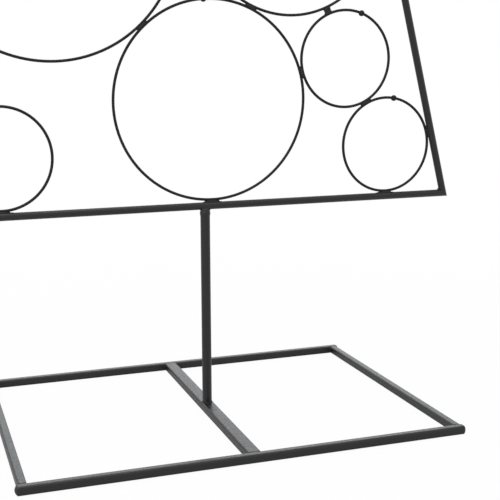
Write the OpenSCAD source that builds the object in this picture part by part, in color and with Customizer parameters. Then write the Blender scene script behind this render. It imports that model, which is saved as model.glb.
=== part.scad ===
// Ring tree display stand.
// A flat welded base carries one post, the post carries a tall triangle of
// round rod, and the triangle is filled with welded wire rings that touch each
// other and the rods. X runs along the wide side, Y from front to back, Z up.
// All lengths are in millimetres. The floor is z = 0.

/* [Base] */
// width of the base over the outer faces of its side bars
base_w = 482.5; // [440:0.5:540]
// depth of the base over its front and back bars
base_d = 339; // [280:1:400]
// side of the square tube that the base is made of
bar = 9.6; // [8:0.1:10.5]
// radius of the long edges of the square tube
bar_edge = 2.5; // [2:0.1:3]
// radius of the long edges of the cross tube
cross_edge = 2.2; // [1.6:0.1:2.8]
// wall of the base tubes
bar_wall = 1.2; // [1:0.1:1.3]
// width of the flat cross tube under the post
cross_w = 15; // [14:0.5:24]
// length of a plug inside the tube's open end
plug_len = 10; // [6:1:16]
// height of a plug's dome over the end of the tube
plug_dome = 3.2; // [2:0.1:3.8]
// play between a plug and the inside of the tube, on each side
plug_play = 0.05; // [0.02:0.01:0.1]
// leg of the fillet welds of the base
base_weld = 1.6; // [1:0.1:2]

/* [Post] */
// outer diameter of the post
post_d = 11; // [10:0.1:11.8]
// wall of the post
post_wall = 1.2; // [1:0.1:1.5]
// height of the post over the cross tube
post_len = 223; // [200:1:260]
// diameter of the collar between the post and the triangle
collar_d = 12.6; // [12.4:0.1:14]
// height of the collar under the bottom rod
collar_h = 6; // [4:0.5:9]
// how far the collar's saddle laps up the bottom rod
saddle_lap = 1.2; // [0.8:0.1:1.6]
// length of the spigot inside the post
spigot_len = 24; // [16:1:40]
// play between the spigot and the post, on each side
spigot_play = 0.05; // [0.02:0.01:0.1]
// leg of the weld around the foot of the post
foot_weld = 1.6; // [1:0.1:1.8]

/* [Triangle] */
// width of the triangle between the axes of its rods, at the bottom; its
// height and its pattern of touching rings follow this width
frame_w = 615; // [540:1:690]
// height of the triangle for each unit of its width
frame_slope = 2.01626; // [2.016:0.0001:2.0165]
// diameter of the triangle's rod
rod_d = 8.5; // [7.5:0.1:9]

/* [Rings] */
// diameter of the ring wire
wire_d = 3.2; // [2.6:0.1:3.4]
// gap between the wires of two rings at their weld
ring_gap = 0.3; // [0.2:0.05:0.4]
// gap between a ring's wire and a rod at their weld
rod_gap = 0.6; // [0.5:0.1:1]
// diameter of the bead on each ring
bead_d = 7; // [6:0.1:8]

/* [Ring pattern] */
// Each ring has a circle as its place, and the places touch each other and the
// sides of the triangle inside the rods. They only fit together, so they are
// all shares of that triangle's width.
// outer radius of the largest ring's place
large_share = 0.23872; // [0.238:0.0001:0.2394]
// outer radius of a medium ring's place
medium_share = 0.18893; // [0.1886:0.0001:0.1893]
// outer radius of a small ring's place
small_share = 0.0955; // [0.095:0.0001:0.0959]
// outer radius of a tiny ring's place
tiny_share = 0.04572; // [0.045:0.0001:0.0461]
// sideways place of the centre ring
centre_side_share = 0.01394; // [0.0133:0.0001:0.0149]
// height of the centre ring's place over the bottom of the pattern
centre_lift_share = 0.001; // [0.0007:0.0001:0.0017]
// distance of the open ring's centre from the left side of the pattern
arc_inset_share = 0.09318; // [0.0923:0.0001:0.0939]

/* [Welds] */
// length of a weld between two rings
ring_weld_len = 13; // [10:0.5:15]
// length of a weld between a ring and a rod
rod_weld_len = 15; // [12:0.5:16]
// thickness of a weld from front to back
weld_t = 3.8; // [3.6:0.1:4.2]
// width of the tab that bridges the two rings that do not touch
tab_w = 8; // [6:0.5:10]
// leg of the small welds inside the triangle's corners
corner_weld = 6; // [4:0.5:8]

/* [Hidden] */
// facets of a round piece; they stand for true curves
$fn = 96;
// facets of the finer rings that cut the welds, around the ring and the wire
cutter_around = 720;
cutter_facets = 128;
// overlap of a cutting body past the face it cuts
over = 1;
// side of the plug's part inside the square tube
plug_side = bar - 2 * bar_wall - 2 * plug_play;
// distance of a side bar's centre line from the middle
side_x = base_w / 2 - bar / 2;
// distance of the front and back bars' centre lines from the middle
end_y = base_d / 2 - bar / 2;
// length of the tubes that run between the front and back bars
inner_d = base_d - 2 * bar;
// distance of the tube's rounded corners from its axis
corner_reach = (bar / 2 - bar_edge) * sqrt(2) + bar_edge;
// height of a plug's rim at those corners
rim_h = 0.3;
// radius of the sphere that a plug's dome is cut from
dome_sag = plug_dome - rim_h;
dome_r = (corner_reach * corner_reach + dome_sag * dome_sag) / (2 * dome_sag);
// post and triangle heights
rod_r = rod_d / 2;
wire_r = wire_d / 2;
post_top = bar + post_len;
frame_z = post_top + collar_h + rod_r;
post_bore = post_d - 2 * post_wall;
frame_h = frame_w * frame_slope;
// lean of the side rods from the vertical
lean = atan(frame_w / 2 / frame_h);
apex = [0, frame_z + frame_h];
function foot(side) = [side * frame_w / 2, frame_z];
// direction from a side rod into the triangle
function inward(side) = [-side * cos(lean), -sin(lean)];
foot_angle = 90 - lean;
// the point where the three mitre planes meet
in_r = frame_w / 2 * tan(foot_angle / 2);
in_centre = [0, frame_z + in_r];
// reach of the mitre regions past the triangle's corners
mitre_reach = 1.1;
// distance from a rod's axis to the wire centre line of a ring that it holds
seat = rod_r + rod_gap + wire_r;
// distance between the centre lines of two touching rings
pitch = wire_d + ring_gap;
// half of the pitch is what a ring's place has over its wire centre line
margin = pitch / 2;
// the triangle inside the rods that the places fill
inset = seat - margin;
cell_z = frame_z + inset;
cell_h = frame_h - inset - inset / sin(lean);
cell_w = 2 * cell_h * tan(lean);
// radii of the places
large_place = large_share * cell_w;
medium_place = medium_share * cell_w;
small_place = small_share * cell_w;
tiny_place = tiny_share * cell_w;

// --- placing rules for the pattern; a point is [x, z] from the middle of its
// bottom side, and every place is a circle that touches its neighbours ---

// direction up along a side
function up(side) = [-side * sin(lean), cos(lean)];
function cross2(a, b) = a[0] * b[1] - a[1] * b[0];

// place in a bottom corner
function in_corner(side, r) =
    [side * (cell_w / 2 - r / tan(foot_angle / 2)), r];

// place with its centre at a distance off a side, above place q
function off_side(side, off, q, q_r, r) =
    let (start = [side * cell_w / 2, 0] + off * inward(side),
         v = q - start,
         reach = q_r + r,
         side_step = cross2(v, up(side)))
    start + (v * up(side) + sqrt(reach * reach - side_step * side_step)) * up(side);

// place that touches a side and place q below it
function on_side(side, q, q_r, r) = off_side(side, r, q, q_r, r);

// place on the left of the line from place a to place b that touches both
function on_pair(a, a_r, b, b_r, r) =
    let (da = a_r + r,
         db = b_r + r,
         g = norm(b - a),
         u = (b - a) / g,
         along = (da * da - db * db + g * g) / (2 * g),
         rise = sqrt(da * da - along * along))
    a + along * u + rise * [-u[1], u[0]];

p_centre = [centre_side_share, centre_lift_share] * cell_w + [0, medium_place];
p_foot_right = in_corner(1, small_place);
p_foot_left = in_corner(-1, small_place);
p_low_right = on_pair(p_centre, medium_place, p_foot_right, small_place, small_place);
p_mid_right = on_side(1, p_centre, medium_place, medium_place);
p_arc_left =
    off_side(-1, arc_inset_share * cell_w, p_centre, medium_place, large_place);
p_waist = on_pair(p_arc_left, large_place, p_mid_right, medium_place, small_place);
p_up_right = on_side(1, p_mid_right, medium_place, small_place);
p_up_left = on_side(-1, p_waist, small_place, small_place);
p_up_main = on_side(-1, p_up_left, small_place, medium_place);
p_shoulder = on_side(1, p_up_main, medium_place, tiny_place);
p_neck_right = on_side(1, p_up_main, medium_place, small_place);
p_neck_left = on_side(-1, p_neck_right, small_place, small_place);
p_crown_right = on_side(1, p_neck_left, small_place, tiny_place);
p_crown_left = on_side(-1, p_neck_left, small_place, tiny_place);
p_crown_mid = on_pair(p_crown_left, tiny_place, p_crown_right, tiny_place, tiny_place);
p_tip = on_side(-1, p_crown_mid, tiny_place, tiny_place);

// wire centre line of the ring in a place: [centre, radius]
function ring_in(p, place_r) =
    [[p[0], cell_z + p[1]], place_r - margin];

centre = ring_in(p_centre, medium_place);
foot_right = ring_in(p_foot_right, small_place);
foot_left = ring_in(p_foot_left, small_place);
low_right = ring_in(p_low_right, small_place);
mid_right = ring_in(p_mid_right, medium_place);
arc_left = ring_in(p_arc_left, large_place);
waist = ring_in(p_waist, small_place);
up_right = ring_in(p_up_right, small_place);
up_left = ring_in(p_up_left, small_place);
up_main = ring_in(p_up_main, medium_place);
shoulder = ring_in(p_shoulder, tiny_place);
neck_right = ring_in(p_neck_right, small_place);
neck_left = ring_in(p_neck_left, small_place);
crown_right = ring_in(p_crown_right, tiny_place);
crown_left = ring_in(p_crown_left, tiny_place);
crown_mid = ring_in(p_crown_mid, tiny_place);
tip = ring_in(p_tip, tiny_place);

// every ring with its bead's turn from the top, clockwise from the front
beaded = [
    [centre, -4], [foot_right, 10], [foot_left, -8], [low_right, 20.6],
    [mid_right, 9], [arc_left, -6], [waist, -15], [up_right, 12],
    [up_left, -10], [up_main, 6], [shoulder, 18], [neck_right, -20],
    [neck_left, 8], [crown_right, 14], [crown_left, -12], [crown_mid, 10],
    [tip, -6]
];

// pairs of rings that are welded to each other, from the bottom up
low_joints = [
    [centre, low_right], [foot_right, low_right], [centre, mid_right],
    [centre, arc_left]
];
middle_joints = [
    [arc_left, waist], [mid_right, waist], [mid_right, up_right],
    [waist, up_left], [up_left, up_main]
];
high_joints = [
    [up_main, shoulder], [up_main, neck_right], [neck_right, neck_left],
    [neck_left, crown_right], [neck_left, crown_left],
    [crown_right, crown_mid], [crown_left, crown_mid], [crown_mid, tip]
];
// the pair that is bridged by a narrow tab
tab_joint = [low_right, mid_right];
// rings that are welded to the bottom rod
bottom_joints = [centre, foot_right, foot_left];
// rings that are welded to a side rod, from the bottom up, with 1 for the
// right rod and -1 for the left one
low_side_joints = [[foot_right, 1], [mid_right, 1], [foot_left, -1]];
middle_side_joints = [[up_right, 1], [shoulder, 1], [up_left, -1], [up_main, -1]];
high_side_joints = [
    [neck_right, 1], [crown_right, 1], [neck_left, -1], [crown_left, -1], [tip, -1]
];

coat = [0.1, 0.1, 0.1];
plug_black = [0.07, 0.07, 0.07];

// --- helpers ---

// flat rounded rectangle made of two bands and four discs
module rounded(w, h, r) {
    square([w - 2 * r, h], center = true);
    square([w, h - 2 * r], center = true);
    for (sx = [-1, 1], sy = [-1, 1])
        translate([sx * (w / 2 - r), sy * (h / 2 - r)])
            circle(r);
}

// tube section with outer edges of radius r
module tube_section(w, h, r) {
    difference() {
        rounded(w, h, r);
        rounded(w - 2 * bar_wall, h - 2 * bar_wall, r - bar_wall);
    }
}

// tube along X, lying on the floor
module bar_x(length) {
    translate([-length / 2, 0, bar / 2])
        rotate([90, 0, 90])
            linear_extrude(length)
                tube_section(bar, bar, bar_edge);
}

// tube along Y, lying on the floor, w wide and with edges of radius r
module bar_y(w, r) {
    translate([0, inner_d / 2, bar / 2])
        rotate([90, 0, 0])
            linear_extrude(inner_d)
                tube_section(w, bar, r);
}

// round bar from a to b, both [x, z], drawn long by the overrun at both ends
module rod_between(a, b, overrun) {
    d = b - a;
    translate([a[0], 0, a[1]])
        rotate([0, atan2(d[0], d[1]), 0])
            translate([0, 0, -overrun])
                cylinder(h = norm(d) + 2 * overrun, d = rod_d);
}

// everything between two rays from the in-centre to two corners
module mitre_region(a, b) {
    pts = [
        in_centre,
        in_centre + mitre_reach * (a - in_centre),
        in_centre + mitre_reach * (b - in_centre)
    ];
    translate([0, rod_d, 0])
        rotate([90, 0, 0])
            linear_extrude(2 * rod_d)
                polygon(pts);
}

// one rod of the triangle, mitred at both ends
module mitred_rod(a, b) {
    intersection() {
        rod_between(a, b, 4 * rod_d);
        mitre_region(a, b);
    }
}

// full ring of wire, [centre, radius]; a finer one cuts the small welds true
module hoop(ring, around = 96, wire_facets = 32) {
    translate([ring[0][0], 0, ring[0][1]])
        rotate([90, 0, 0])
            rotate_extrude($fn = around)
                translate([ring[1], 0])
                    circle(wire_r, $fn = wire_facets);
}

// a ring's wire as the cutter of a weld
module hoop_cutter(ring) {
    hoop(ring, cutter_around, cutter_facets);
}

// block between the wire centre lines of two rings
module ring_web(joint, length) {
    a = joint[0];
    b = joint[1];
    d = b[0] - a[0];
    u = d / norm(d);
    span = norm(d) - a[1] - b[1];
    mid = a[0] + (a[1] + span / 2) * u;
    difference() {
        translate([mid[0], 0, mid[1]])
            rotate([0, atan2(u[0], u[1]), 0])
                cube([length, weld_t, span], center = true);
        hoop_cutter(a);
        hoop_cutter(b);
    }
}

// block between a rod's axis and a ring's wire centre line; the rod runs from
// a to b, and n points from it to the ring
module rod_web(ring, n, a, b) {
    span = (ring[0] - a) * n - ring[1];
    mid = ring[0] - (ring[1] + span / 2) * n;
    difference() {
        translate([mid[0], 0, mid[1]])
            rotate([0, atan2(n[0], n[1]), 0])
                cube([rod_weld_len, weld_t, span], center = true);
        hoop_cutter(ring);
        rod_between(a, b, 0);
    }
}

// the web of a ring and a side rod, joint [ring, side]
module side_web(joint) {
    rod_web(joint[0], inward(joint[1]), foot(joint[1]), apex);
}

// the side of the left rod that the open ring does not reach
module beyond_left_rod() {
    translate([foot(-1)[0], 0, foot(-1)[1]])
        rotate([0, lean, 0])
            translate([-arc_left[1], 0, frame_h / 2])
                cube([2 * arc_left[1], 2 * rod_d, frame_h], center = true);
}

// small upright fillet in an inside corner of the base, at [x, y];
// sx and sy point into the open corner
module corner_fillet(x, y, sx, sy) {
    translate([x, y, bar_edge])
        linear_extrude(bar - 2 * bar_edge)
            polygon([[0, 0], [sx * base_weld, 0], [0, sy * base_weld]]);
}

// --- base ---

module base_front_bar() {
    color(coat)
        translate([0, -end_y, 0])
            bar_x(base_w);
}

module base_back_bar() {
    color(coat)
        translate([0, end_y, 0])
            bar_x(base_w);
}

module base_left_bar() {
    color(coat)
        translate([-side_x, 0, 0])
            bar_y(bar, bar_edge);
}

module base_right_bar() {
    color(coat)
        translate([side_x, 0, 0])
            bar_y(bar, bar_edge);
}

module base_cross_bar() {
    color(coat)
        bar_y(cross_w, cross_edge);
}

// one plug, its dome pointing along +Z from z = 0
module end_plug() {
    intersection() {
        linear_extrude(plug_dome)
            rounded(bar, bar, bar_edge);
        translate([0, 0, plug_dome - dome_r])
            sphere(dome_r);
    }
    translate([0, 0, -plug_len])
        linear_extrude(plug_len)
            rounded(plug_side, plug_side, bar_edge - bar_wall - plug_play);
}

module base_end_plugs() {
    color(plug_black)
        for (sx = [-1, 1], sy = [-1, 1])
            translate([sx * base_w / 2, sy * end_y, bar / 2])
                rotate([0, sx * 90, 0])
                    end_plug();
}

module base_welds() {
    inner_y = inner_d / 2;
    color(coat)
        for (sy = [-1, 1]) {
            for (sx = [-1, 1]) {
                corner_fillet(sx * (side_x - bar / 2), sy * inner_y, -sx, -sy);
                corner_fillet(sx * cross_w / 2, sy * inner_y, sx, -sy);
            }
        }
}

// --- post ---

module post() {
    color(coat)
        translate([0, 0, bar])
            difference() {
                cylinder(h = post_len, d = post_d);
                translate([0, 0, -over])
                    cylinder(h = post_len + 2 * over, d = post_bore);
            }
}

module post_foot_weld() {
    color(coat)
        translate([0, 0, bar])
            rotate_extrude()
                polygon([
                    [post_d / 2, 0],
                    [post_d / 2 + foot_weld, 0],
                    [post_d / 2, foot_weld]
                ]);
}

// collar with a saddle for the bottom rod and a spigot for the post
module frame_collar() {
    spigot_r = post_bore / 2 - spigot_play;
    tip = 1;
    color(coat)
        difference() {
            translate([0, 0, post_top])
                union() {
                    cylinder(h = collar_h + saddle_lap, d = collar_d);
                    translate([0, 0, -spigot_len])
                        cylinder(h = spigot_len, r = spigot_r);
                    translate([0, 0, -spigot_len - tip])
                        cylinder(h = tip, r1 = spigot_r - tip, r2 = spigot_r);
                }
            rod_between(foot(-1), foot(1), 0);
        }
}

// --- triangle ---

module frame_bottom_rod() {
    color(coat)
        mitred_rod(foot(-1), foot(1));
}

module frame_left_rod() {
    color(coat)
        mitred_rod(foot(-1), apex);
}

module frame_right_rod() {
    color(coat)
        mitred_rod(foot(1), apex);
}

// wedge inside a corner, between the two rods that meet there
module corner_wedge(p, a, b) {
    ua = (a - p) / norm(a - p);
    ub = (b - p) / norm(b - p);
    inner = rod_r / tan(acos(ua * ub) / 2) + corner_weld;
    difference() {
        translate([0, weld_t / 2, 0])
            rotate([90, 0, 0])
                linear_extrude(weld_t)
                    polygon([p, p + inner * ua, p + inner * ub]);
        rod_between(p, a, 4 * rod_d);
        rod_between(p, b, 4 * rod_d);
    }
}

module corner_welds() {
    color(coat) {
        corner_wedge(foot(-1), foot(1), apex);
        corner_wedge(foot(1), apex, foot(-1));
        corner_wedge(apex, foot(-1), foot(1));
    }
}

// --- rings ---

module ring_centre() {
    color(coat) hoop(centre);
}

module ring_foot_right() {
    color(coat) hoop(foot_right);
}

module ring_foot_left() {
    color(coat) hoop(foot_left);
}

module ring_low_right() {
    color(coat) hoop(low_right);
}

module ring_mid_right() {
    color(coat) hoop(mid_right);
}

// open ring whose two ends are coped to the left rod
module ring_arc_left() {
    color(coat)
        difference() {
            hoop(arc_left);
            beyond_left_rod();
            rod_between(foot(-1), apex, 0);
        }
}

module ring_waist() {
    color(coat) hoop(waist);
}

module ring_up_right() {
    color(coat) hoop(up_right);
}

module ring_up_left() {
    color(coat) hoop(up_left);
}

module ring_up_main() {
    color(coat) hoop(up_main);
}

module ring_shoulder() {
    color(coat) hoop(shoulder);
}

module ring_neck_right() {
    color(coat) hoop(neck_right);
}

module ring_neck_left() {
    color(coat) hoop(neck_left);
}

module ring_crown_right() {
    color(coat) hoop(crown_right);
}

module ring_crown_left() {
    color(coat) hoop(crown_left);
}

module ring_crown_mid() {
    color(coat) hoop(crown_mid);
}

module ring_tip() {
    color(coat) hoop(tip);
}

// one bead near the top of every ring, threaded on its wire
module ring_beads() {
    color(coat)
        for (g = beaded) {
            ring = g[0];
            place = ring[0] + ring[1] * [sin(g[1]), cos(g[1])];
            difference() {
                translate([place[0], 0, place[1]])
                    sphere(d = bead_d, $fn = 48);
                hoop(ring);
            }
        }
}

// --- welds ---

module ring_welds_low() {
    color(coat) {
        for (j = low_joints)
            ring_web(j, ring_weld_len);
        ring_web(tab_joint, tab_w);
    }
}

module ring_welds_middle() {
    color(coat)
        for (j = middle_joints)
            ring_web(j, ring_weld_len);
}

module ring_welds_high() {
    color(coat)
        for (j = high_joints)
            ring_web(j, ring_weld_len);
}

module rod_welds_low() {
    color(coat) {
        for (j = low_side_joints)
            side_web(j);
        for (ring = bottom_joints)
            rod_web(ring, [0, 1], foot(-1), foot(1));
    }
}

module rod_welds_middle() {
    color(coat)
        for (j = middle_side_joints)
            side_web(j);
}

module rod_welds_high() {
    color(coat)
        for (j = high_side_joints)
            side_web(j);
}

base_front_bar();
base_back_bar();
base_left_bar();
base_right_bar();
base_cross_bar();
base_end_plugs();
base_welds();
post();
post_foot_weld();
frame_collar();
frame_bottom_rod();
frame_left_rod();
frame_right_rod();
corner_welds();
ring_centre();
ring_foot_right();
ring_foot_left();
ring_low_right();
ring_mid_right();
ring_arc_left();
ring_waist();
ring_up_right();
ring_up_left();
ring_up_main();
ring_shoulder();
ring_neck_right();
ring_neck_left();
ring_crown_right();
ring_crown_left();
ring_crown_mid();
ring_tip();
ring_beads();
ring_welds_low();
ring_welds_middle();
ring_welds_high();
rod_welds_low();
rod_welds_middle();
rod_welds_high();
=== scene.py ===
"""Ring tree display stand: the finishes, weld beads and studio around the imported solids.

The solids carry the shapes: a flat base of square tube, a post, a triangle of
round rod and the wire rings inside it. This script dresses them in powder
coat, shows a rippled bead in place of each plain weld solid and a soft form in
place of the collar and the plugs, and sets the floor, the light and the
camera. All lengths are in metres unless a name or a comment says otherwise.
"""

import logging
import math
from dataclasses import dataclass, field
from enum import Enum
from typing import ClassVar

import bmesh
import bpy
from mathutils import Matrix, Vector, noise


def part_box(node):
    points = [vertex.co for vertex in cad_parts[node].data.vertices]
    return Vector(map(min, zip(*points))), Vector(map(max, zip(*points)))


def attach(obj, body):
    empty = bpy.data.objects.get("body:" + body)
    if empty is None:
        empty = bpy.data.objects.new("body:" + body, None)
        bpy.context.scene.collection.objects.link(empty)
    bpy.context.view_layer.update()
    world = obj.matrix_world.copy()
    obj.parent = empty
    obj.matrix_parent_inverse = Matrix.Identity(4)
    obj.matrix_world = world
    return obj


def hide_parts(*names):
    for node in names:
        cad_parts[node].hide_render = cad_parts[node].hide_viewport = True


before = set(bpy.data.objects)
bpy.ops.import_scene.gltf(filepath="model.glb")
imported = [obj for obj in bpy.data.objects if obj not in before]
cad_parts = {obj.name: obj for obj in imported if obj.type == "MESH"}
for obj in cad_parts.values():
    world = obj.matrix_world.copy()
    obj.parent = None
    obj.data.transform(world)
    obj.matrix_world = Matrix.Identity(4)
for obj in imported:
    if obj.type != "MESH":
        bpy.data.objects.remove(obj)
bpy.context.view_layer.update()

log = logging.getLogger("ring_tree")

MM = 0.001
# Two points closer than this count as one
SAME_POINT = 1e-6
# Spacing of the uneven spots of a weld
WELD_GRAIN = 1.3 * MM
# The stand is one rigid body
BODY = "root"


# --- small helpers ---


def linear(code: str) -> tuple[float, float, float, float]:
    """Turns an sRGB hex colour into the linear colour that sockets take.

    Args:
        code: The colour as "#rrggbb".

    Returns:
        Linear red, green and blue, and an alpha of 1.
    """
    coded = [int(code[i:i + 2], 16) / 255 for i in (1, 3, 5)]
    # The two stretches of the sRGB curve: a straight foot, then a power
    red, green, blue = [
        c / 12.92 if c <= 0.04045 else ((c + 0.055) / 1.055) ** 2.4 for c in coded]
    return (red, green, blue, 1.0)


def add_node(
    tree: bpy.types.NodeTree,
    kind: str,
    settings: dict | None = None,
    sockets: dict | None = None,
) -> bpy.types.Node:
    """Adds a node with its settings and its inputs.

    Args:
        tree: The node tree that gets the node.
        kind: The node's type name, such as "ShaderNodeTexNoise".
        settings: Attribute names and their values.
        sockets: Input names or numbers, each with a value or the output socket
            that feeds it.

    Returns:
        The new node.
    """
    node = tree.nodes.new(kind)
    for name, value in (settings or {}).items():
        setattr(node, name, value)
    for name, value in (sockets or {}).items():
        if isinstance(value, bpy.types.NodeSocket):
            tree.links.new(value, node.inputs[name])
        else:
            node.inputs[name].default_value = value
    return node


def shell(name: str) -> tuple[bpy.types.Material, bpy.types.NodeTree]:
    """Makes an empty material that uses nodes.

    Args:
        name: The material's name.

    Returns:
        The material and its cleared node tree.
    """
    material = bpy.data.materials.new(name)
    material.use_nodes = True
    material.node_tree.nodes.clear()
    return material, material.node_tree


def dress(obj: bpy.types.Object, material: bpy.types.Material) -> None:
    """Gives an object one material in place of all it has.

    Args:
        obj: The object to dress.
        material: Its new material.
    """
    obj.data.materials.clear()
    obj.data.materials.append(material)


def make_piece(
    shape: bmesh.types.BMesh,
    name: str,
    material: bpy.types.Material,
    stands_for: tuple[str, ...],
) -> None:
    """Turns a finished shape into a piece that rides on the stand.

    Args:
        shape: The shape, with its place in its vertices; it is freed here.
        name: The piece's name.
        material: The piece's finish.
        stands_for: The solids that the piece is shown in place of.
    """
    bmesh.ops.recalc_face_normals(shape, faces=shape.faces)
    mesh = bpy.data.meshes.new(name)
    shape.to_mesh(mesh)
    shape.free()
    mesh.polygons.foreach_set("use_smooth", [True] * len(mesh.polygons))
    obj = bpy.data.objects.new(name, mesh)
    bpy.context.scene.collection.objects.link(obj)
    dress(obj, material)
    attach(obj, BODY)
    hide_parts(*stands_for)
    log.info("%s: %d faces", name, len(mesh.polygons))


def quarter_turn(direction: Vector) -> Vector:
    """Turns a direction in the plane of the triangle by a right angle."""
    return Vector((-direction.z, 0.0, direction.x))


def smooth_step(share: float) -> float:
    """Eases a share from 0 to 1 so that it starts and ends level."""
    return share * share * (3 - 2 * share)


# --- finishes ---


@dataclass(frozen=True)
class PowderCoat:
    """Baked polyester powder on steel.

    The film is nearly black, so what the eye reads is its satin reflection: it
    stays dark face on and turns grey at a glancing angle. Melted grains leave
    a faint orange peel, and the film's thickness clouds its sheen.

    Attributes:
        name: The material's name.
        colour: The film's own colour.
        sheen_low: Roughness where the film flowed out best.
        sheen_high: Roughness where it stayed dry.
        gloss: Strength of the mirror part, 0.5 for a plain clear resin.
        peel_mm: Spacing of the orange peel. The real one is about 1 mm; it is
            drawn a little coarser so that it shows.
        peel_depth_mm: Height of the orange peel.
        cloud_mm: Size of the cloudy changes in sheen along a tube.
        CLOUD_RANGE: The part of the noise's range that is spread over the sheen.
        GRAIN_LIFT: How much lighter the film is over a melted grain.
    """

    CLOUD_RANGE: ClassVar[tuple[float, float]] = (0.35, 0.65)
    GRAIN_LIFT: ClassVar[float] = 1.5

    name: str
    colour: str
    sheen_low: float
    sheen_high: float
    gloss: float
    peel_mm: float
    peel_depth_mm: float
    cloud_mm: float

    def material(self) -> bpy.types.Material:
        """Builds the coat's node material.

        Returns:
            The material.
        """
        material, tree = shell(self.name)
        low, high = self.CLOUD_RANGE
        place = add_node(tree, "ShaderNodeTexCoord").outputs["Object"]
        cloud = add_node(
            tree, "ShaderNodeTexNoise", {},
            {"Vector": place, "Scale": 1 / (self.cloud_mm * MM), "Detail": 3.0,
             "Roughness": 0.55})
        grain = add_node(
            tree, "ShaderNodeTexNoise", {},
            {"Vector": place, "Scale": 1 / (self.peel_mm * MM), "Detail": 2.0,
             "Roughness": 0.5})
        sheen = add_node(
            tree, "ShaderNodeMapRange", {},
            {"Value": cloud.outputs["Fac"], "From Min": low, "From Max": high,
             "To Min": self.sheen_low, "To Max": self.sheen_high})
        film = linear(self.colour)
        over_grain = tuple(c * self.GRAIN_LIFT for c in film[:3]) + (1.0,)
        tint = add_node(
            tree, "ShaderNodeMix", {"data_type": "RGBA"},
            {"Factor": grain.outputs["Fac"], "A": film, "B": over_grain})
        peel = add_node(
            tree, "ShaderNodeBump", {},
            {"Height": grain.outputs["Fac"], "Strength": 0.6,
             "Distance": self.peel_depth_mm * MM})
        coat = add_node(
            tree, "ShaderNodeBsdfPrincipled", {},
            {"Base Color": tint.outputs["Result"], "Metallic": 0.0,
             "Roughness": sheen.outputs["Result"], "IOR": 1.5,
             "Specular IOR Level": self.gloss, "Normal": peel.outputs["Normal"]})
        add_node(tree, "ShaderNodeOutputMaterial", {},
                 {"Surface": coat.outputs["BSDF"]})
        return material


@dataclass(frozen=True)
class MouldedPolyethylene:
    """Black injection-moulded polyethylene, for the tube plugs.

    It is softer and duller than the coat, with the fine spark-eroded texture
    of its mould.

    Attributes:
        name: The material's name.
        colour: The plastic's colour.
        roughness: Its roughness.
        texture_mm: Spacing of the mould texture. The real one is about 0.1 mm; it
            is drawn coarser so that it shows.
        texture_depth_mm: Height of the mould texture.
    """

    name: str = "plug_polyethylene"
    colour: str = "#151515"
    roughness: float = 0.55
    texture_mm: float = 0.6
    texture_depth_mm: float = 0.02

    def material(self) -> bpy.types.Material:
        """Builds the plastic's node material.

        Returns:
            The material.
        """
        material, tree = shell(self.name)
        place = add_node(tree, "ShaderNodeTexCoord").outputs["Object"]
        texture = add_node(
            tree, "ShaderNodeTexVoronoi", {},
            {"Vector": place, "Scale": 1 / (self.texture_mm * MM)})
        bump = add_node(
            tree, "ShaderNodeBump", {},
            {"Height": texture.outputs["Distance"], "Strength": 0.35,
             "Distance": self.texture_depth_mm * MM})
        plastic = add_node(
            tree, "ShaderNodeBsdfPrincipled", {},
            {"Base Color": linear(self.colour), "Roughness": self.roughness,
             "IOR": 1.51, "Normal": bump.outputs["Normal"]})
        add_node(tree, "ShaderNodeOutputMaterial", {},
                 {"Surface": plastic.outputs["BSDF"]})
        return material


@dataclass(frozen=True)
class StudioPaper:
    """Matt background paper that reads as plain white and keeps the shadow.

    Near the stand the camera sees mostly plain white with some of the paper's
    own shading, and away from it plain white only, so no edge shows. In
    reflections the paper keeps more of its shading, so the undersides of the
    tubes stay dark where they touch it.

    Attributes:
        name: The material's name.
        colour: The paper's colour.
        near_white: Share of plain white that the camera sees beside the stand.
        glint_white: Share of plain white in reflections.
        fade_from: Distance from the middle where the shading starts to fade.
        fade_to: Distance where it is gone.
    """

    name: str = "studio_paper"
    colour: str = "#e4e4e4"
    near_white: float = 0.95
    glint_white: float = 0.15
    fade_from: float = 0.5
    fade_to: float = 1.3

    def material(self) -> bpy.types.Material:
        """Builds the paper's node material.

        Returns:
            The material.
        """
        material, tree = shell(self.name)
        paper = add_node(
            tree, "ShaderNodeBsdfPrincipled", {},
            {"Base Color": linear(self.colour), "Roughness": 0.9,
             "Specular IOR Level": 0.0})
        white = add_node(
            tree, "ShaderNodeEmission", {},
            {"Color": (1.0, 1.0, 1.0, 1.0), "Strength": 1.0})
        place = add_node(tree, "ShaderNodeTexCoord").outputs["Object"]
        reach = add_node(tree, "ShaderNodeVectorMath", {"operation": "LENGTH"}, {0: place})
        seen = add_node(
            tree, "ShaderNodeMapRange", {},
            {"Value": reach.outputs["Value"], "From Min": self.fade_from,
             "From Max": self.fade_to, "To Min": self.near_white, "To Max": 1.0})
        path = add_node(tree, "ShaderNodeLightPath")
        direct = add_node(
            tree, "ShaderNodeMath", {"operation": "MULTIPLY"},
            {0: path.outputs["Is Camera Ray"], 1: seen.outputs["Result"]})
        glint = add_node(
            tree, "ShaderNodeMath", {"operation": "MAXIMUM"},
            {0: path.outputs["Is Glossy Ray"], 1: path.outputs["Is Transmission Ray"]})
        share = add_node(
            tree, "ShaderNodeMath", {"operation": "MULTIPLY_ADD"},
            {0: glint.outputs[0], 1: self.glint_white, 2: direct.outputs[0]})
        mix = add_node(
            tree, "ShaderNodeMixShader", {},
            {0: share.outputs[0], 1: paper.outputs["BSDF"],
             2: white.outputs["Emission"]})
        add_node(tree, "ShaderNodeOutputMaterial", {},
                 {"Surface": mix.outputs["Shader"]})
        return material


# Satin coat of the tubes, the post and the rods
TUBE_COAT = PowderCoat(
    name="satin_powder_coat", colour="#151515", sheen_low=0.34, sheen_high=0.46,
    gloss=0.4, peel_mm=1.4, peel_depth_mm=0.035, cloud_mm=2.5)
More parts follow.
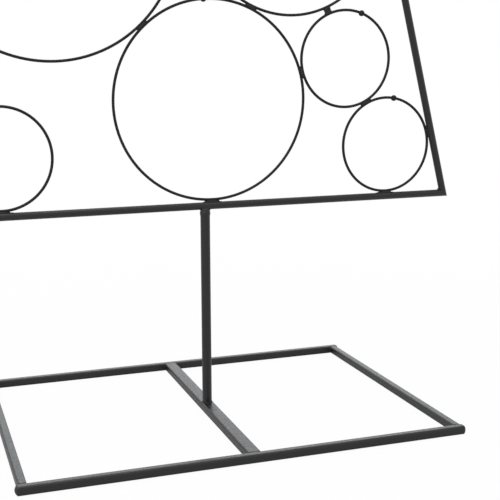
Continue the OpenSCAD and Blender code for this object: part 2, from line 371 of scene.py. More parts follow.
# Coat of the rings: the tubes' powder, painted blacker and flatter as painted shade for the
# darker look of the thin round wire in this light
WIRE_COAT_WITH_PAINTED_SHADE = PowderCoat(
    name="wire_powder_coat_painted_shade", colour="#0b0b0b", sheen_low=0.42, sheen_high=0.55,
    gloss=0.25, peel_mm=1.1, peel_depth_mm=0.02, cloud_mm=5.0)
# Coat over a weld: it pulls thin on the ripples and stays rougher
WELD_COAT = PowderCoat(
    name="weld_powder_coat", colour="#121212", sheen_low=0.40, sheen_high=0.58,
    gloss=0.38, peel_mm=0.9, peel_depth_mm=0.04, cloud_mm=4.0)


# --- geometry read from the solids ---


class Rod(Enum):
    """The three rods of the triangle, by the side they stand on."""

    LEFT = -1
    BOTTOM = 0
    RIGHT = 1


@dataclass(frozen=True)
class Ring:
    """Centre line of one wire ring in the plane of the triangle.

    Attributes:
        x: Sideways place of its centre.
        z: Height of its centre.
        radius: Radius of the wire's centre line.
        wire: Radius of the wire.
    """

    x: float
    z: float
    radius: float
    wire: float

    @classmethod
    def from_name(cls, name: str) -> "Ring":
        """Reads a ring from its solid, whose top, foot and right side must be there.

        Args:
            name: The ring's name, without the "ring_" of its solid.

        Returns:
            The ring's centre line.
        """
        low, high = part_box(f"ring_{name}")
        wire = (high.y - low.y) / 2
        radius = (high.z - low.z) / 2 - wire
        return cls(high.x - radius - wire, (high.z + low.z) / 2, radius, wire)

    @property
    def centre(self) -> Vector:
        """The ring's centre as a point in space."""
        return Vector((self.x, 0.0, self.z))


@dataclass(frozen=True)
class RingGap:
    """The gap between the centre lines of two neighbouring rings.

    Attributes:
        middle: The gap's middle.
        across: Unit direction from the first ring to the second.
        along: Unit direction square to it, in the plane of the rings.
        width: The gap's width.
    """

    middle: Vector
    across: Vector
    along: Vector
    width: float

    @classmethod
    def between(cls, one: Ring, other: Ring) -> "RingGap":
        """Finds the gap between two rings.

        Args:
            one: The first ring.
            other: The second ring.

        Returns:
            The gap.
        """
        apart = other.centre - one.centre
        across = apart.normalized()
        width = apart.length - one.radius - other.radius
        middle = one.centre + across * (one.radius + width / 2)
        return cls(middle, across, quarter_turn(across), width)


@dataclass(frozen=True)
class Triangle:
    """Axes of the three rods.

    Attributes:
        half_width: Half of the width between the side rods' axes at the foot.
        foot_z: Height of the bottom rod's axis.
        lean: Angle of the side rods from the vertical.
        rod: Radius of the rods.
    """

    half_width: float
    foot_z: float
    lean: float
    rod: float

    @classmethod
    def from_nodes(cls) -> "Triangle":
        """Reads the triangle from the solid of its right rod.

        Returns:
            The axes of the rods.
        """
        low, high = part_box("frame_right_rod")
        rod = (high.y - low.y) / 2
        lean = math.atan((high.x - low.x) / (high.z - low.z))
        half_corner = (math.pi / 2 - lean) / 2
        return cls(high.x - rod / math.tan(half_corner), low.z + rod, lean, rod)

    def start(self, rod: Rod) -> Vector:
        """A point on a rod's axis, at the foot of the triangle."""
        return Vector((rod.value * self.half_width, 0.0, self.foot_z))

    def inward(self, rod: Rod) -> Vector:
        """Finds the direction from a rod into the triangle, square to the rod.

        Args:
            rod: The rod.

        Returns:
            A unit direction.
        """
        if rod is Rod.BOTTOM:
            return Vector((0.0, 0.0, 1.0))
        return Vector((-rod.value * math.cos(self.lean), 0.0, -math.sin(self.lean)))

    def along(self, rod: Rod) -> Vector:
        """Finds the direction along a rod, up or to the right.

        Args:
            rod: The rod.

        Returns:
            A unit direction.
        """
        if rod is Rod.BOTTOM:
            return Vector((1.0, 0.0, 0.0))
        return Vector((-rod.value * math.sin(self.lean), 0.0, math.cos(self.lean)))

    @property
    def apex(self) -> Vector:
        """The point where the side rods' axes meet."""
        return Vector((0.0, 0.0, self.foot_z + self.half_width / math.tan(self.lean)))


# --- weld beads ---


class Level(Enum):
    """The three groups of welds from the bottom of the triangle up."""

    LOW = "low"
    MIDDLE = "middle"
    HIGH = "high"


@dataclass(frozen=True)
class WeldBead:
    """A short run of weld: a blunt spindle with the ripples of its puddles.

    Attributes:
        half_length: Half of its length.
        half_width: Half of its width across the joint.
        half_depth: Half of its thickness from front to back.
        ripples: Number of puddles along it.
        POINTS_ROUND: Points round its section.
        ROWS_PER_RIPPLE: Rows of points along one puddle.
        RIPPLE_HEIGHT: Height of a ripple as a share of the bead's thickness.
        UNEVENNESS: The same for the weld's uneven spots.
        BLUNTNESS: Exponent of the spindle's profile, 2 for an ellipse.
    """

    POINTS_ROUND: ClassVar[int] = 18
    ROWS_PER_RIPPLE: ClassVar[int] = 8
    RIPPLE_HEIGHT: ClassVar[float] = 0.07
    UNEVENNESS: ClassVar[float] = 0.09
    BLUNTNESS: ClassVar[float] = 2.1

    half_length: float
    half_width: float
    half_depth: float
    ripples: int

    def lay(self, shape: bmesh.types.BMesh, at: Vector, along: Vector, across: Vector) -> None:
        """Adds the bead to a shape.

        Args:
            shape: The shape that gets it.
            at: The bead's middle.
            along: Unit direction of its length.
            across: Unit direction of its width, square to its length.
        """
        made = bmesh.ops.create_uvsphere(
            shape, u_segments=self.POINTS_ROUND,
            v_segments=self.ROWS_PER_RIPPLE * self.ripples, radius=1.0)["verts"]
        turn = Matrix((across, along.cross(across), along)).transposed()
        for vert in made:
            place = max(-1.0, min(1.0, vert.co.z))
            off_axis = math.hypot(vert.co.x, vert.co.y)
            profile = (1 - abs(place) ** self.BLUNTNESS) ** (1 / self.BLUNTNESS)
            puddle = math.cos(math.pi * self.ripples * (place + 1))
            swell = 0.0
            if off_axis > SAME_POINT:
                swell = profile * (1 + self.RIPPLE_HEIGHT * puddle) / off_axis
            local = Vector((
                vert.co.x * swell * self.half_width,
                vert.co.y * swell * self.half_depth,
                place * self.half_length))
            spot = at + turn @ local
            uneven = 1 + self.UNEVENNESS * noise.noise(spot / WELD_GRAIN)
            vert.co = at + turn @ (local * uneven)


@dataclass
class RingWelds:
    """Beads where two rings touch, in three groups from the bottom up.

    Attributes:
        half_length: Half of a bead's length.
        half_width: Half of its width across the two wires.
        half_depth: Half of its thickness.
        ripples: Number of puddles along it.
        tab_width: Width of the tab between the two rings that do not touch.
        tab_depth: Thickness of the tab.
        tab_edge: Radius of its edges.
        tab_bead_share: Half of the length of the bead at each end of the tab, as a
            share of the tab's width.
        tab_bead_width: Half of that bead's width.
        tab_bead_off: How far its middle lies beyond the wire's centre line.
        tab_ripples: Number of puddles along it.
        groups: The welded pairs of each group.
        bridged: The pair that the tab joins.
    """

    half_length: float = 7.4 * MM
    half_width: float = 2.1 * MM
    half_depth: float = 1.9 * MM
    ripples: int = 5
    tab_width: float = 8.0 * MM
    tab_depth: float = 2.6 * MM
    tab_edge: float = 0.5 * MM
    tab_bead_share: float = 0.62
    tab_bead_width: float = 1.5 * MM
    tab_bead_off: float = 1.5 * MM
    tab_ripples: int = 3
    groups: dict[Level, list[tuple[str, str]]] = field(default_factory=lambda: {
        Level.LOW: [("centre", "low_right"), ("foot_right", "low_right"),
                    ("centre", "mid_right"), ("centre", "arc_left")],
        Level.MIDDLE: [("arc_left", "waist"), ("mid_right", "waist"),
                       ("mid_right", "up_right"), ("waist", "up_left"),
                       ("up_left", "up_main")],
        Level.HIGH: [("up_main", "shoulder"), ("up_main", "neck_right"),
                     ("neck_right", "neck_left"), ("neck_left", "crown_right"),
                     ("neck_left", "crown_left"), ("crown_right", "crown_mid"),
                     ("crown_left", "crown_mid"), ("crown_mid", "tip")],
    })
    bridged: tuple[str, str] = ("low_right", "mid_right")

    def build(self, material: bpy.types.Material) -> None:
        """Builds one piece for each group.

        Args:
            material: The coat over the welds.
        """
        bead = WeldBead(self.half_length, self.half_width, self.half_depth, self.ripples)
        for level, joints in self.groups.items():
            shape = bmesh.new()
            for one, other in joints:
                gap = RingGap.between(Ring.from_name(one), Ring.from_name(other))
                bead.lay(shape, gap.middle, gap.along, gap.across)
            if level is Level.LOW:
                self._tab(shape)
            make_piece(shape, f"ring_weld_beads_{level.value}", material,
                       (f"ring_welds_{level.value}",))

    def _tab(self, shape: bmesh.types.BMesh) -> None:
        """Adds the bridging tab, with a bead where it meets each wire.

        Args:
            shape: The shape that gets them.
        """
        one, other = (Ring.from_name(name) for name in self.bridged)
        gap = RingGap.between(one, other)
        turn = Matrix((gap.across, gap.along.cross(gap.across), gap.along)).transposed()
        plate = bmesh.ops.create_cube(shape, size=1.0)["verts"]
        bmesh.ops.scale(
            shape, vec=(gap.width, self.tab_depth, self.tab_width), verts=plate)
        edges = dict.fromkeys(e for v in plate for e in v.link_edges)
        bmesh.ops.transform(
            shape, matrix=Matrix.Translation(gap.middle) @ turn.to_4x4(), verts=plate)
        bmesh.ops.bevel(shape, geom=list(edges), offset=self.tab_edge, segments=3,
                        profile=0.5, affect="EDGES", material=-1)
        bead = WeldBead(self.tab_width * self.tab_bead_share, self.tab_bead_width,
                        self.half_depth, self.tab_ripples)
        for ring, away in ((one, 1.0), (other, -1.0)):
            spot = ring.centre + gap.across * away * (ring.radius + self.tab_bead_off)
            bead.lay(shape, spot, gap.along, gap.across)


@dataclass
class RodWelds:
    """Beads where a ring touches a rod of the triangle, in three groups.

    Attributes:
        foot_length: Half of the length of a bead on the bottom rod.
        side_length: Half of the length of a bead on a side rod.
        half_depth: Half of a bead's thickness.
        overlap: How far the bead sinks into the rod and the wire.
        toe_length: Half of the length of the thin toe that wets the bottom rod.
        toe_width: Half of the toe's width.
        ripples: Number of puddles along a bead.
        end_length: Half of the length of the bead at an end of the open ring.
        end_width: Half of its width.
        end_depth: Half of its thickness.
        end_lift: How far its middle stands off the rod.
        end_ripples: Number of puddles along it.
        groups: The welded rods and rings of each group.
    """

    foot_length: float = 9.2 * MM
    side_length: float = 7.8 * MM
    half_depth: float = 1.95 * MM
    overlap: float = 1.25 * MM
    toe_length: float = 12.0 * MM
    toe_width: float = 0.75 * MM
    ripples: int = 5
    end_length: float = 3.4 * MM
    end_width: float = 1.5 * MM
    end_depth: float = 2.1 * MM
    end_lift: float = 0.2 * MM
    end_ripples: int = 3
    groups: dict[Level, list[tuple[Rod, str]]] = field(default_factory=lambda: {
        Level.LOW: [(Rod.BOTTOM, "centre"), (Rod.BOTTOM, "foot_right"),
                    (Rod.BOTTOM, "foot_left"), (Rod.RIGHT, "foot_right"),
                    (Rod.RIGHT, "mid_right"), (Rod.LEFT, "foot_left")],
        Level.MIDDLE: [(Rod.RIGHT, "up_right"), (Rod.RIGHT, "shoulder"),
                       (Rod.LEFT, "up_left"), (Rod.LEFT, "up_main")],
        Level.HIGH: [(Rod.RIGHT, "neck_right"), (Rod.RIGHT, "crown_right"),
                     (Rod.LEFT, "neck_left"), (Rod.LEFT, "crown_left"),
                     (Rod.LEFT, "tip")],
    })

    def build(self, triangle: Triangle, material: bpy.types.Material) -> None:
        """Builds one piece for each group.

        Args:
            triangle: The rods' axes.
            material: The coat over the welds.
        """
        for level, joints in self.groups.items():
            shape = bmesh.new()
            for rod, name in joints:
                self._bead_between(shape, triangle, rod, Ring.from_name(name))
            if level is Level.MIDDLE:
                self._open_ends(shape, triangle, Ring.from_name("arc_left"))
            make_piece(shape, f"rod_weld_beads_{level.value}", material,
                       (f"rod_welds_{level.value}",))

    def _bead_between(self, shape: bmesh.types.BMesh, triangle: Triangle,
                      rod: Rod, ring: Ring) -> None:
        """Lays a bead in the gap between a rod and a ring.

        A bead on the bottom rod also gets its toe.

        Args:
            shape: The shape that gets it.
            triangle: The rods' axes.
            rod: The rod.
            ring: The ring's centre line.
        """
        inward, along = triangle.inward(rod), triangle.along(rod)
        off = (ring.centre - triangle.start(rod)).dot(inward)
        gap = off - ring.radius - ring.wire - triangle.rod
        at = ring.centre - inward * (ring.radius + ring.wire + gap / 2)
        half_length = self.foot_length if rod is Rod.BOTTOM else self.side_length
        bead = WeldBead(half_length, gap / 2 + self.overlap, self.half_depth, self.ripples)
        bead.lay(shape, at, along, inward)
        if rod is Rod.BOTTOM:
            toe = WeldBead(self.toe_length, self.toe_width, self.half_depth, self.ripples)
            toe.lay(shape, at - inward * (gap / 2), along, inward)

    def _open_ends(self, shape: bmesh.types.BMesh, triangle: Triangle,
                   ring: Ring) -> None:
        """Lays a bead round each end of the open ring on the left rod.

        Args:
            shape: The shape that gets them.
            triangle: The rods' axes.
            ring: The open ring's centre line.
        """
        inward, along = triangle.inward(Rod.LEFT), triangle.along(Rod.LEFT)
        start = triangle.start(Rod.LEFT)
        off = (ring.centre - start).dot(inward)
        middle = (ring.centre - start).dot(along)
        reach = math.sqrt(ring.radius ** 2 - (off - triangle.rod) ** 2)
        lift = inward * (triangle.rod + self.end_lift)
        bead = WeldBead(self.end_length, self.end_width, self.end_depth, self.end_ripples)
        for side in (-1, 1):
            bead.lay(shape, start + along * (middle + side * reach) + lift, along, inward)


@dataclass
class CornerWelds:
    """Small beads inside the three corners of the triangle.

    Attributes:
        half_width: Half of a bead's width.
        half_depth: Half of its thickness.
        foot_length: Half of its length in the two lower corners.
        apex_length: Half of its length under the apex.
        apex_drop: How far the apex's bead lies below the point where the rods part.
        ripples: Number of puddles along a bead.
    """

    half_width: float = 1.9 * MM
    half_depth: float = 1.8 * MM
    foot_length: float = 2.2 * MM
    apex_length: float = 7.0 * MM
    apex_drop: float = 2.8 * MM
    ripples: int = 3

    def build(self, triangle: Triangle, material: bpy.types.Material) -> None:
        """Builds the three beads as one piece.

        Args:
            triangle: The rods' axes.
            material: The coat over the welds.
        """
        shape = bmesh.new()
        to_foot = triangle.rod / math.sin((math.pi / 2 - triangle.lean) / 2)
        for rod in (Rod.LEFT, Rod.RIGHT):
            toward = (triangle.along(rod) + Vector((-rod.value, 0.0, 0.0))).normalized()
            self._bead(shape, triangle.start(rod) + toward * to_foot, toward,
                       self.foot_length)
        to_apex = triangle.rod / math.sin(triangle.lean) + self.apex_drop
        down = Vector((0.0, 0.0, -1.0))
        self._bead(shape, triangle.apex + down * to_apex, down, self.apex_length)
        make_piece(shape, "corner_weld_beads", material, ("corner_welds",))

    def _bead(self, shape: bmesh.types.BMesh, at: Vector, toward: Vector,
              half_length: float) -> None:
        """Lays one bead along a corner's bisector.

        Args:
            shape: The shape that gets it.
            at: The bead's middle.
            toward: Unit direction into the triangle.
            half_length: Half of the bead's length.
        """
        bead = WeldBead(half_length, self.half_width, self.half_depth, self.ripples)
        bead.lay(shape, at, toward, quarter_turn(toward))


@dataclass
class BaseWelds:
    """Beads of the base: upright in the inside corners and along the tops.

    Attributes:
        radius: Radius of an upright bead.
        off: How far its middle stands off each face.
        upright_share: Half of its length as a share of the tubes' height.
        upright_ripples: Number of puddles along it.
        top_width: Half of a top bead's width.
        top_height: Half of its height.
        top_sink: How far its middle lies below the top of the tubes.
        top_back: How far its middle lies over the long tube's rounded edge.
        top_inset: How far it stops short of the joint's end.
        top_pitch: Half of the spacing of its puddles.
    """

    radius: float = 1.25 * MM
    off: float = 0.35 * MM
    upright_share: float = 0.34
    upright_ripples: int = 3
    top_width: float = 1.9 * MM
    top_height: float = 1.15 * MM
    top_sink: float = 1.15 * MM
    top_back: float = 1.15 * MM
    top_inset: float = 0.6 * MM
    top_pitch: float = 1.1 * MM

    def build(self, material: bpy.types.Material) -> None:
        """Builds all the base's beads as one piece.

        Args:
            material: The coat over the welds.
        """
        shape = bmesh.new()
        front, back = (corner.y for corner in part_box("base_cross_bar"))
        for name in ("base_left_bar", "base_cross_bar", "base_right_bar"):
            low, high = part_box(name)
            for y, open_y in ((front, 1), (back, -1)):
                self._top_bead(shape, low.x, high.x, y - open_y * self.top_back, high.z)
                for x, open_x in ((low.x, -1), (high.x, 1)):
                    # The end tubes have no inside corner on their outer side
                    if name == "base_cross_bar" or x * open_x < 0:
                        self._upright_bead(shape, x + open_x * self.off,
                                           y + open_y * self.off, high.z)
        make_piece(shape, "base_weld_beads", material, ("base_welds",))

    def _upright_bead(self, shape: bmesh.types.BMesh, x: float, y: float,
                      height: float) -> None:
        """Lays one bead up an inside corner.

        Args:
            shape: The shape that gets it.
            x: Sideways place of its middle.
            y: Place of its middle from front to back.
            height: Height of the tubes.
        """
        bead = WeldBead(height * self.upright_share, self.radius, self.radius,
                        self.upright_ripples)
        bead.lay(shape, Vector((x, y, height / 2)), Vector((0.0, 0.0, 1.0)),
                 Vector((1.0, 0.0, 0.0)))

    def _top_bead(self, shape: bmesh.types.BMesh, left: float, right: float,
                  y: float, height: float) -> None:
        """Lays one bead in the groove over a butt joint.

        Args:
            shape: The shape that gets it.
            left: Left side of the tube that ends at the joint.
            right: Its right side.
            y: Place of the bead's middle from front to back.
            height: Height of the tubes.
        """
        half = (right - left) / 2 - self.top_inset
        bead = WeldBead(half, self.top_width, self.top_height, round(half / self.top_pitch))
        bead.lay(shape, Vector(((left + right) / 2, y, height - self.top_sink)),
                 Vector((1.0, 0.0, 0.0)), Vector((0.0, 1.0, 0.0)))


@dataclass
class FootWeld:
    """Weld run round the foot of the post.

    Attributes:
        leg: Leg of the weld on the post and on the cross tube.
        ripples: Number of puddles round the post.
        ripple_height: Height of a ripple as a share of the leg.
        unevenness: The same for the weld's uneven spots.
        steps: Steps of the mesh round the post, a few for each puddle.
    """

    leg: float = 0.95 * MM
    ripples: int = 22
    ripple_height: float = 0.07
    unevenness: float = 0.08
    steps: int = 176

    def build(self, material: bpy.types.Material) -> None:
        """Builds the run as one piece.

        Args:
            material: The coat over the weld.
        """
        low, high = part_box("post")
        post = (high.x - low.x) / 2
        shape = bmesh.new()
        section = bmesh.ops.create_circle(
            shape, cap_ends=False, radius=self.leg, segments=14,
            matrix=Matrix.Rotation(math.pi / 2, 4, "X"))["verts"]
        bmesh.ops.translate(shape, vec=(post, 0.0, low.z), verts=section)
        bmesh.ops.spin(
            shape, geom=list(shape.verts) + list(shape.edges), cent=(0, 0, 0),
            axis=(0, 0, 1), dvec=(0, 0, 0), angle=math.tau, steps=self.steps,
            use_merge=True, use_duplicate=False)
        bmesh.ops.remove_doubles(shape, verts=shape.verts, dist=SAME_POINT)
        for vert in shape.verts:
            angle = math.atan2(vert.co.y, vert.co.x)
            middle = Vector((math.cos(angle) * post, math.sin(angle) * post, low.z))
            puddle = 1 + self.ripple_height * math.cos(self.ripples * angle)
            uneven = 1 + self.unevenness * noise.noise(vert.co / WELD_GRAIN)
            vert.co = middle + (vert.co - middle) * puddle * uneven
        make_piece(shape, "foot_weld_run", material, ("post_foot_weld",))


# --- collar ---


@dataclass
class FrameCollar:
    """Collar between the post and the triangle.

    It swells softly, draws in to a neck, and ends in weld that spreads along the
    bottom rod's underside and climbs its front and back. Each drop is a distance
    under that rod's underside.

    Attributes:
        swell: How far the collar stands out over the post at its widest.
        swell_drop: Drop of the widest place.
        swell_reach: Half of the height over which it swells.
        lift: How far its thin lower edge stands out over the post.
        spread: How far the weld spreads along the rod.
        spread_drop: Drop where it starts to spread.
        climb: How far the weld climbs above the rod's underside.
        crest: Radius where the climb ends, inside the rod.
        spigot_radius: Radius of the part inside the post.
    """

    swell: float = 0.53 * MM
    swell_drop: float = 4.2 * MM
    swell_reach: float = 3.9 * MM
    lift: float = 0.02 * MM
    spread: float = 1.3 * MM
    spread_drop: float = 1.2 * MM
    climb: float = 3.0 * MM
    crest: float = 3.9 * MM
    spigot_radius: float = 4.25 * MM

    def build(self, material: bpy.types.Material) -> None:
        """Builds the collar and its spigot as one piece.

        Args:
            material: The coat over the collar.
        """
        low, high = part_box("post")
        post = (high.x - low.x) / 2
        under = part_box("frame_bottom_rod")[0].z
        spigot_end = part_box("frame_collar")[0].z
        foot = under - self.swell_drop - self.swell_reach
        top = under + self.climb
        shape = bmesh.new()
        bmesh.ops.create_cone(
            shape, cap_ends=True, segments=72, radius1=self.spigot_radius,
            radius2=self.spigot_radius, depth=under - spigot_end,
            matrix=Matrix.Translation((0.0, 0.0, (under + spigot_end) / 2)))
        body = bmesh.ops.create_uvsphere(
            shape, u_segments=120, v_segments=72, radius=1.0)["verts"]
        for vert in body:
            share = math.acos(max(-1.0, min(1.0, -vert.co.z))) / math.pi
            height = foot + share * (top - foot)
            off_axis = math.hypot(vert.co.x, vert.co.y)
            if off_axis < SAME_POINT:
                vert.co = (0.0, 0.0, height)
                continue
            along, across = vert.co.x / off_axis, vert.co.y / off_axis
            radius = self._radius(under - height, post, along)
            vert.co = (along * radius, across * radius, height)
        make_piece(shape, "collar_turned", material, ("frame_collar",))

    def _radius(self, drop: float, post: float, along: float) -> float:
        """Works out the collar's radius at a drop.

        Args:
            drop: Distance under the rod's underside, negative above it.
            post: Radius of the post.
            along: 1 or -1 in the direction of the rod, 0 across it.

        Returns:
            The radius.
        """
        edge = post + self.lift
        turn = min(1.0, abs(drop - self.swell_drop) / self.swell_reach) * math.pi
        radius = edge + self.swell * (1 + math.cos(turn)) / 2
        rise = self.spread_drop - drop
        if rise > 0:
            climbed = smooth_step(rise / (self.spread_drop + self.climb))
            spread = min(1.0, rise / self.spread_drop) ** 2
            radius += (self.crest - edge) * climbed + self.spread * spread * along ** 2
        return radius


# --- plugs ---


@dataclass
class EndPlugs:
    """Moulded plugs in the open ends of the long tubes, each with a soft dome.

    Attributes:
        rim_squareness: Exponent of the section's curve at the rim; a little over
            4 follows the rounded edges of the tube.
        tip_squareness: The same at the tip, 2 for a round one.
        fullness: Exponent of the dome's profile, 2 for an ellipse.
        lap: How far the dome's rim reaches back over the end of the tube.
        shank_length: Length of the part inside the tube.
        shank_side: Its side.
        shank_edge: Radius of its edges.
    """

    rim_squareness: float = 4.17
    tip_squareness: float = 2.0
    fullness: float = 1.7
    lap: float = 0.3 * MM
    shank_length: float = 10.0 * MM
    shank_side: float = 7.0 * MM
    shank_edge: float = 1.2 * MM

    def build(self, material: bpy.types.Material) -> None:
        """Builds the four plugs as one piece.

        Args:
            material: The plugs' plastic.
        """
        shape = bmesh.new()
        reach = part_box("base_end_plugs")[1].x
        for name in ("base_front_bar", "base_back_bar"):
            low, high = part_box(name)
            middle = (low + high) / 2
            for side in (-1, 1):
                end = Vector((side * high.x, middle.y, middle.z))
                self._dome(shape, end, side, (high.z - low.z) / 2, reach - high.x)
                self._shank(shape, end, side)
        make_piece(shape, "tube_end_plugs", material, ("base_end_plugs",))

    def _dome(self, shape: bmesh.types.BMesh, end: Vector, side: int, half: float,
              height: float) -> None:
        """Adds a dome that starts as the tube's section and closes softly.

        Args:
            shape: The shape that gets it.
            end: The middle of the tube's end.
            side: 1 for a right end, -1 for a left one.
            half: Half of the tube's side.
            height: Height of the dome over the tube's end.
        """
        made = bmesh.ops.create_uvsphere(
            shape, u_segments=72, v_segments=40, radius=1.0)["verts"]
        for vert in made:
            rise = vert.co.z * (height if vert.co.z > 0 else self.lap)
            off_axis = math.hypot(vert.co.x, vert.co.y)
            if off_axis < SAME_POINT:
                vert.co = end + Vector((side * rise, 0.0, 0.0))
                continue
            across, upright = vert.co.x / off_axis, vert.co.y / off_axis
            width = half * self._width(abs(vert.co.z), across, upright)
            vert.co = end + Vector((side * rise, across * width, upright * width))

    def _width(self, out: float, across: float, upright: float) -> float:
        """Works out how far the dome reaches from its axis.

        Args:
            out: Place along the dome, 0 at the rim and 1 at the tip.
            across: Sideways part of a unit direction from the axis.
            upright: Its upright part.

        Returns:
            The reach as a share of half of the tube's side.
        """
        change = self.tip_squareness - self.rim_squareness
        squareness = self.rim_squareness + change * out
        section = abs(across) ** squareness + abs(upright) ** squareness
        profile = (1 - out ** self.fullness) ** (1 / self.fullness)
        return profile / section ** (1 / squareness)

    def _shank(self, shape: bmesh.types.BMesh, end: Vector, side: int) -> None:
        """Adds the part that grips inside the tube.

        Args:
            shape: The shape that gets it.
            end: The middle of the tube's end.
            side: 1 for a right end, -1 for a left one.
        """
        made = bmesh.ops.create_cube(shape, size=1.0)["verts"]
        bmesh.ops.scale(shape, verts=made,
                        vec=(self.shank_length, self.shank_side, self.shank_side))
        edges = dict.fromkeys(e for v in made for e in v.link_edges)
        bmesh.ops.translate(shape, verts=made,
                            vec=end - Vector((side * self.shank_length / 2, 0.0, 0.0)))
        bmesh.ops.bevel(shape, geom=list(edges), offset=self.shank_edge, segments=4,
                        profile=0.5, affect="EDGES", material=-1)


# --- the solids that stay ---


@dataclass(frozen=True)
class Solids:
    """The stand's own solids, which keep their shape and get their finish.

    Attributes:
        tubes: The solids of tube and rod.
        rings: The solids of wire.
    """

    tubes: tuple[str, ...] = (
        "base_front_bar", "base_back_bar", "base_left_bar", "base_right_bar",
        "base_cross_bar", "post", "frame_bottom_rod", "frame_left_rod",
        "frame_right_rod")
    rings: tuple[str, ...] = (
        "ring_centre", "ring_foot_right", "ring_foot_left", "ring_low_right",
        "ring_mid_right", "ring_arc_left", "ring_waist", "ring_up_right",
        "ring_up_left", "ring_up_main", "ring_shoulder", "ring_neck_right",
        "ring_neck_left", "ring_crown_right", "ring_crown_left",
        "ring_crown_mid", "ring_tip", "ring_beads")

    def finish(self, tube: bpy.types.Material, wire: bpy.types.Material) -> None:
        """Gives each solid its material.

        Args:
            tube: Coat of the tubes and rods.
            wire: Coat of the rings, painted darker than the tubes' coat as painted shade.
        """
        for names, material in ((self.tubes, tube), (self.rings, wire)):
            for name in names:
                dress(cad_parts[name], material)
                log.info("%s: %s", name, material.name)


# --- studio ---


@dataclass(frozen=True)
class Softbox:
    """One softbox lamp.

    Attributes:
        name: The lamp's name.
        at: Its place.
        aim: The point it faces.
        size: Its width and height.
        power: Its power in watts.
        tint: Colour of its light.
    """

    name: str
    at: tuple[float, float, float]
    aim: tuple[float, float, float]
    size: tuple[float, float]
    power: float
    tint: str = "#ffffff"

    def hang(self) -> None:
        """Hangs the lamp in the scene."""
        data = bpy.data.lights.new(self.name, "AREA")
        data.shape = "RECTANGLE"
        data.size, data.size_y = self.size
        data.energy = self.power
        data.color = linear(self.tint)[:3]
        obj = bpy.data.objects.new(self.name, data)
        obj.location = self.at
        facing = Vector(self.aim) - Vector(self.at)
        obj.rotation_euler = facing.to_track_quat("-Z", "Y").to_euler()
        bpy.context.scene.collection.objects.link(obj)


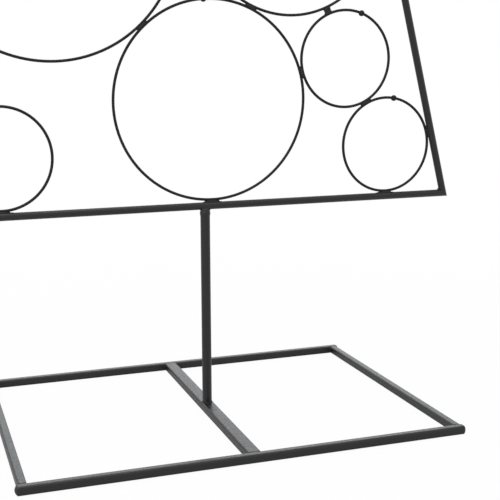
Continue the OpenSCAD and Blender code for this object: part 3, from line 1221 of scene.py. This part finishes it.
@dataclass(frozen=True)
class Studio:
    """Paper floor, soft light and camera.

    Attributes:
        eye: The camera's place.
        yaw: Its turn to the right of straight back, in degrees.
        pitch: Its tilt, in degrees, negative for down.
        roll: Its roll, in degrees.
        lens: Focal length in millimetres.
        sensor: Width of the sensor in millimetres.
        shift: Sideways and upright shift of the view.
        clip: Nearest and farthest distance that the camera sees.
        ambient: Strength of the white room's light.
        floor_radius: Radius of the paper floor.
        softboxes: One lamp behind, one above and one at the front left.
    """

    eye: tuple[float, float, float] = (-0.3353, -1.0718, 0.4063)
    yaw: float = 17.768
    pitch: float = -9.245
    roll: float = -0.571
    lens: float = 71.59
    sensor: float = 36.0
    shift: tuple[float, float] = (0.076, -0.055)
    clip: tuple[float, float] = (0.05, 60.0)
    ambient: float = 0.68
    floor_radius: float = 12.0
    softboxes: tuple[Softbox, ...] = (
        Softbox(name="back_softbox", at=(0.9, 3.2, 1.6), aim=(0.0, 0.0, 0.3),
                size=(3.2, 1.8), power=31.0, tint="#f6faff"),
        Softbox(name="top_softbox", at=(-0.3, -0.2, 3.0), aim=(0.0, 0.0, 0.0),
                size=(2.2, 2.2), power=33.0),
        Softbox(name="front_softbox", at=(-2.4, -2.0, 1.7), aim=(0.0, 0.0, 0.4),
                size=(1.6, 1.6), power=17.0),
    )

    def floor(self) -> None:
        """Lays the paper floor under the stand."""
        shape = bmesh.new()
        bmesh.ops.create_circle(shape, cap_ends=True, radius=self.floor_radius,
                                segments=96)
        mesh = bpy.data.meshes.new("floor")
        shape.to_mesh(mesh)
        shape.free()
        obj = bpy.data.objects.new("floor", mesh)
        bpy.context.scene.collection.objects.link(obj)
        dress(obj, StudioPaper().material())

    def room(self) -> None:
        """Sets the white room: it lights softly and shows as plain white."""
        world = bpy.data.worlds.new("white_room")
        world.use_nodes = True
        tree = world.node_tree
        tree.nodes.clear()
        path = add_node(tree, "ShaderNodeLightPath")
        seen_or_mirrored = add_node(
            tree, "ShaderNodeMath", {"operation": "MAXIMUM"},
            {0: path.outputs["Is Camera Ray"], 1: path.outputs["Is Glossy Ray"]})
        seen = add_node(
            tree, "ShaderNodeMath", {"operation": "MAXIMUM"},
            {0: seen_or_mirrored.outputs[0], 1: path.outputs["Is Transmission Ray"]})
        strength = add_node(
            tree, "ShaderNodeMapRange", {},
            {"Value": seen.outputs[0], "To Min": self.ambient, "To Max": 1.0})
        back = add_node(
            tree, "ShaderNodeBackground", {},
            {"Color": (1.0, 1.0, 1.0, 1.0), "Strength": strength.outputs["Result"]})
        add_node(tree, "ShaderNodeOutputWorld", {},
                 {"Surface": back.outputs["Background"]})
        bpy.context.scene.world = world

    def camera(self) -> None:
        """Sets the camera at the eye with its turn, tilt and roll."""
        data = bpy.data.cameras.new("camera")
        data.lens = self.lens
        data.sensor_width = self.sensor
        data.shift_x, data.shift_y = self.shift
        data.clip_start, data.clip_end = self.clip
        obj = bpy.data.objects.new("camera", data)
        turn = (Matrix.Rotation(-math.radians(self.yaw), 4, "Z")
                @ Matrix.Rotation(math.radians(90 + self.pitch), 4, "X")
                @ Matrix.Rotation(math.radians(self.roll), 4, "Z"))
        obj.matrix_world = Matrix.Translation(self.eye) @ turn
        bpy.context.scene.collection.objects.link(obj)
        bpy.context.scene.camera = obj

    def build(self) -> None:
        """Sets up the whole studio."""
        self.floor()
        self.room()
        for softbox in self.softboxes:
            softbox.hang()
        self.camera()
        bpy.context.scene.view_settings.view_transform = "Standard"


def main() -> None:
    """Builds every part of the scene in order."""
    logging.basicConfig(level=logging.INFO, format="%(message)s")
    tube = TUBE_COAT.material()
    # The rings' coat carries painted shade: it is darker and duller than the tubes' coat
    wire = WIRE_COAT_WITH_PAINTED_SHADE.material()
    weld = WELD_COAT.material()
    Solids().finish(tube, wire)
    FrameCollar().build(tube)
    EndPlugs().build(MouldedPolyethylene().material())
    triangle = Triangle.from_nodes()
    RingWelds().build(weld)
    RodWelds().build(triangle, weld)
    CornerWelds().build(triangle, weld)
    BaseWelds().build(weld)
    FootWeld().build(weld)
    Studio().build()


if __name__ == "__main__":
    main()
